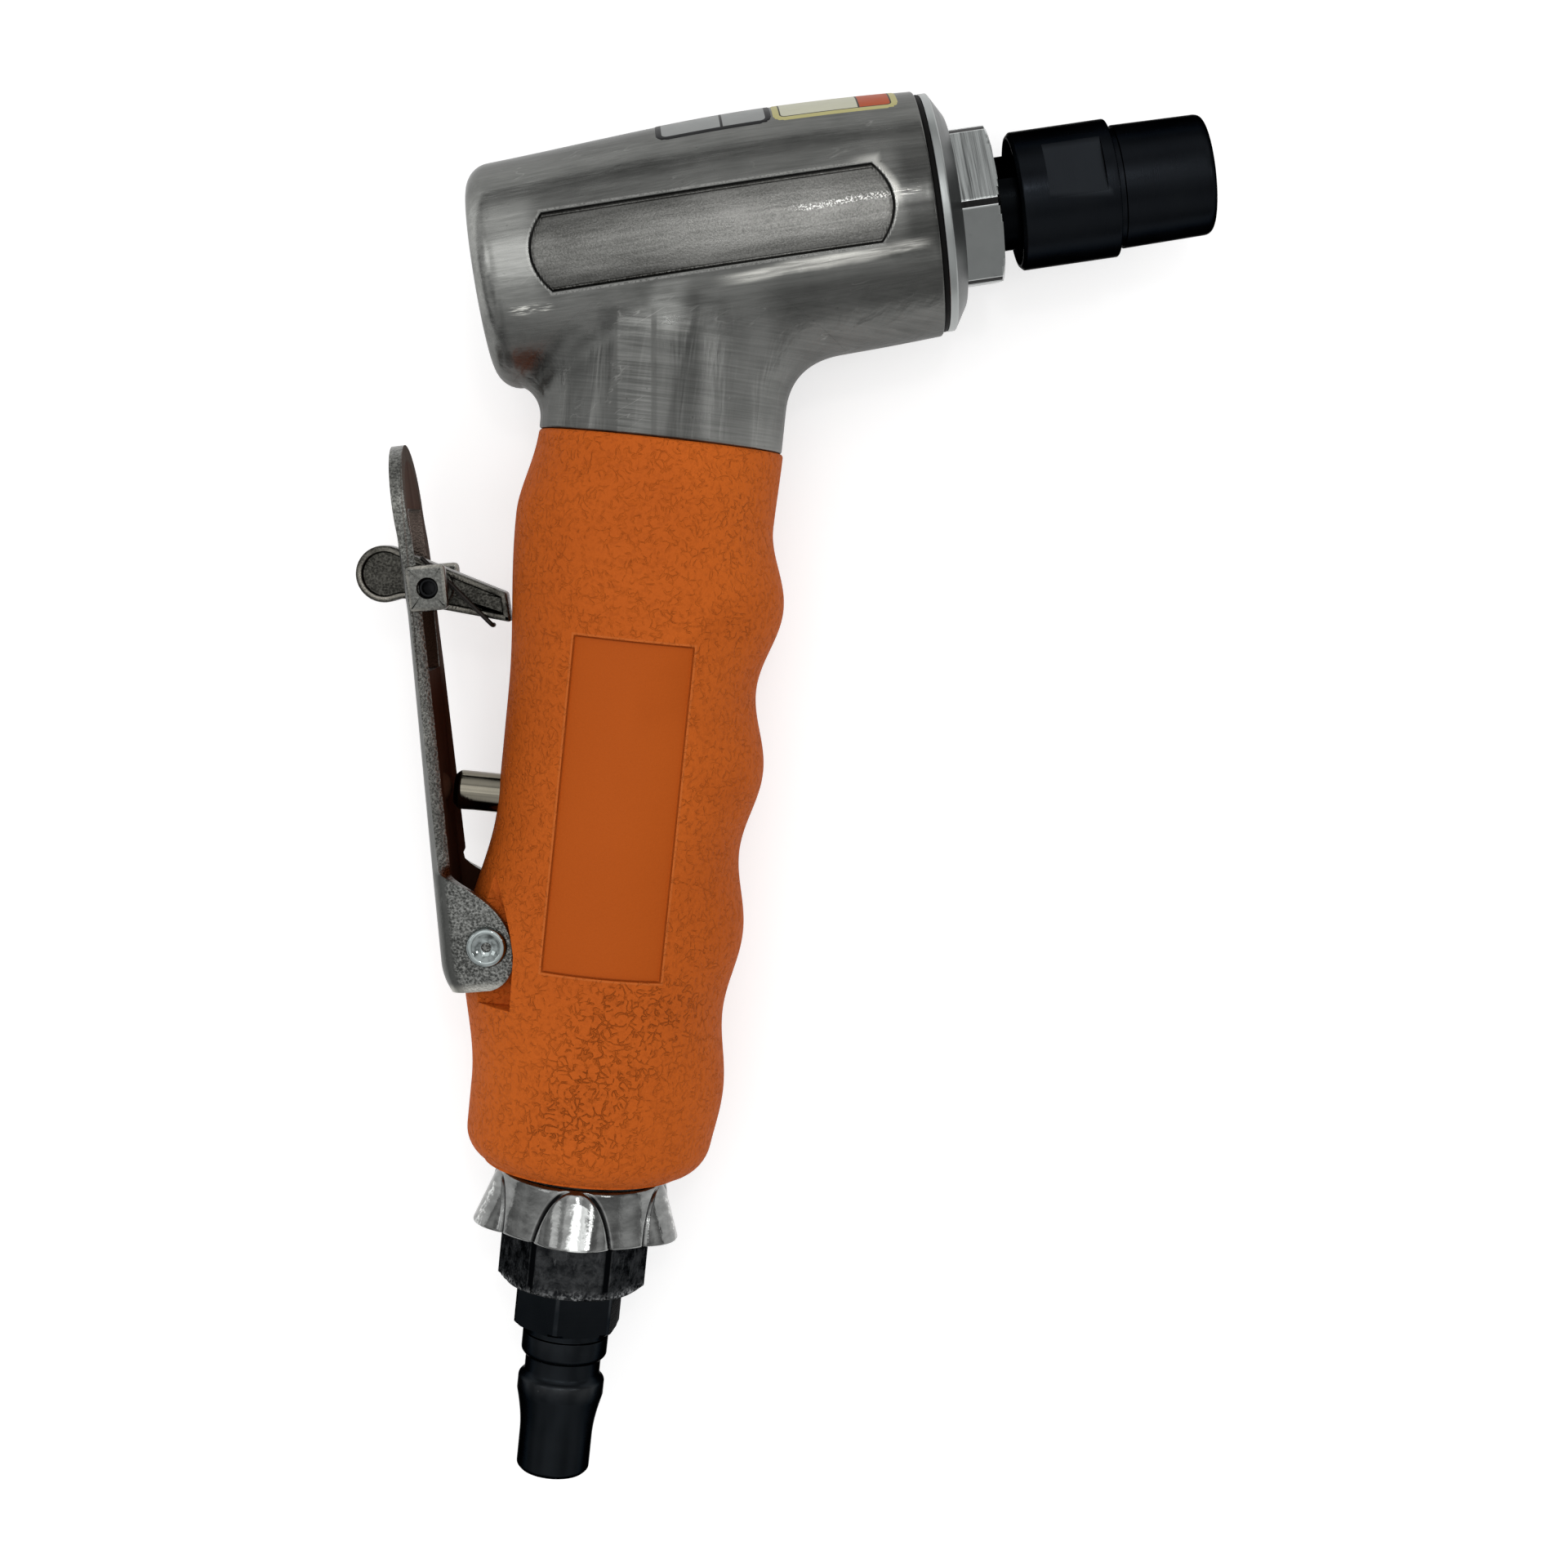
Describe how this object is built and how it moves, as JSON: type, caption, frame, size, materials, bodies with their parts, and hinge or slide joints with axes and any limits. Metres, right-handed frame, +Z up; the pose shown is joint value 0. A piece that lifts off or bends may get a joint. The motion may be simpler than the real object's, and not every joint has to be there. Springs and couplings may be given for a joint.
{
  "type": "air die grinder",
  "caption": "Pistol-shaped air die grinder: angled collet head, ribbed finger grip, rear throttle lever with a lock-off latch, turning exhaust ring and hose plug.",
  "frame": {"origin": "centre of the bounding box's floor, with the tool lying on its side", "axes": "+Y up the handle from the hose plug to the head, +X from the throttle lever to the collet side, +Z up from the bench, square to the middle plane"},
  "size_m": [0.114, 0.2022, 0.0344],
  "materials": {
    "cast_aluminium": "die-cast, brushed and satin, with a rougher sunk panel",
    "grip_rubber": "orange moulded rubber with a fine wrinkled grain",
    "plated_steel": "bright zinc plating with fine tool marks",
    "nickel_steel": "nickel plating with a slightly rough sheen",
    "black_steel": "black oxide, half gloss, worn on the edges",
    "chrome": "mirror bright, slightly scratched",
    "polished_steel": "ground and polished",
    "bearing_steel": "ground bearing steel",
    "spring_steel": "drawn wire, dull",
    "seal_rubber": "black nitrile rubber",
    "vane_composite": "brown laminate",
    "brass": "turned brass",
    "felt": "grey pressed felt"
  },
  "bodies": {
    "handle": {"motor_housing": "cast_aluminium", "grip_sleeve": "grip_rubber", "clamp_nut": "plated_steel", "head_seal": "seal_rubber", "front_end_plate": "bearing_steel", "rear_end_plate": "bearing_steel", "front_bearing_outer": "bearing_steel", "rear_bearing_outer": "bearing_steel", "cylinder_liner": "bearing_steel", "locating_dowel": "bearing_steel", "preload_washer": "spring_steel", "pivot_pin": "plated_steel", "valve_bush": "brass", "valve_o_ring": "seal_rubber", "valve_seat": "brass", "valve_cap": "brass", "exhaust_silencer": "felt", "inlet_bushing": "black_steel", "inlet_strainer": "brass", "air_plug": "black_steel"},
    "spindle": {"rotor": "bearing_steel", "rotor_vanes": "vane_composite", "front_bearing_inner": "bearing_steel", "rear_bearing_inner": "bearing_steel", "front_bearing_balls": "bearing_steel", "rear_bearing_balls": "bearing_steel", "collet_holder": "black_steel", "collet": "black_steel", "collet_nut": "black_steel"},
    "lever": {"throttle_lever": "nickel_steel", "latch_pin": "polished_steel"},
    "latch": {"safety_latch": "nickel_steel", "latch_spring": "spring_steel"},
    "valve": {"valve_stem": "polished_steel", "poppet_seal": "seal_rubber", "valve_spring": "spring_steel"},
    "deflector": {"exhaust_deflector": "chrome"}
  },
  "joints": [
    {"name": "spindle_spin", "type": "hinge", "parent": "handle", "child": "spindle", "pos_m": [-0.01735, 0.07473, 0.0172], "axis": [0.9686, 0.2487, 0], "continuous": true},
    {"name": "lever_squeeze", "type": "hinge", "parent": "handle", "child": "lever", "pos_m": [-0.03315, -0.02347, 0.0172], "axis": [0, 0, -1], "range_deg": [0, 7], "stiffness_Nm_per_rad": 2, "springref_deg": -3.44},
    {"name": "latch_fold", "type": "hinge", "parent": "lever", "child": "latch", "pos_m": [-0.04601, 0.02498, 0.0172], "axis": [0, 0, -1], "range_deg": [0, 60], "deforming": ["latch_spring"]},
    {"name": "valve_slide", "type": "slide", "parent": "handle", "child": "valve", "axis": [1, 0, 0], "range_m": [0, 0.00255], "deforming": ["valve_spring"]},
    {"name": "deflector_turn", "type": "hinge", "parent": "handle", "child": "deflector", "pos_m": [-0.01735, -0.06002, 0.0172], "axis": [0, 1, 0], "continuous": true}
  ],
  "couplings": [
    {"joint": "latch_fold", "follows": "lever_squeeze", "ratio": 8.57},
    {"joint": "valve_slide", "follows": "lever_squeeze", "m_per_rad": 0.0208}
  ]
}
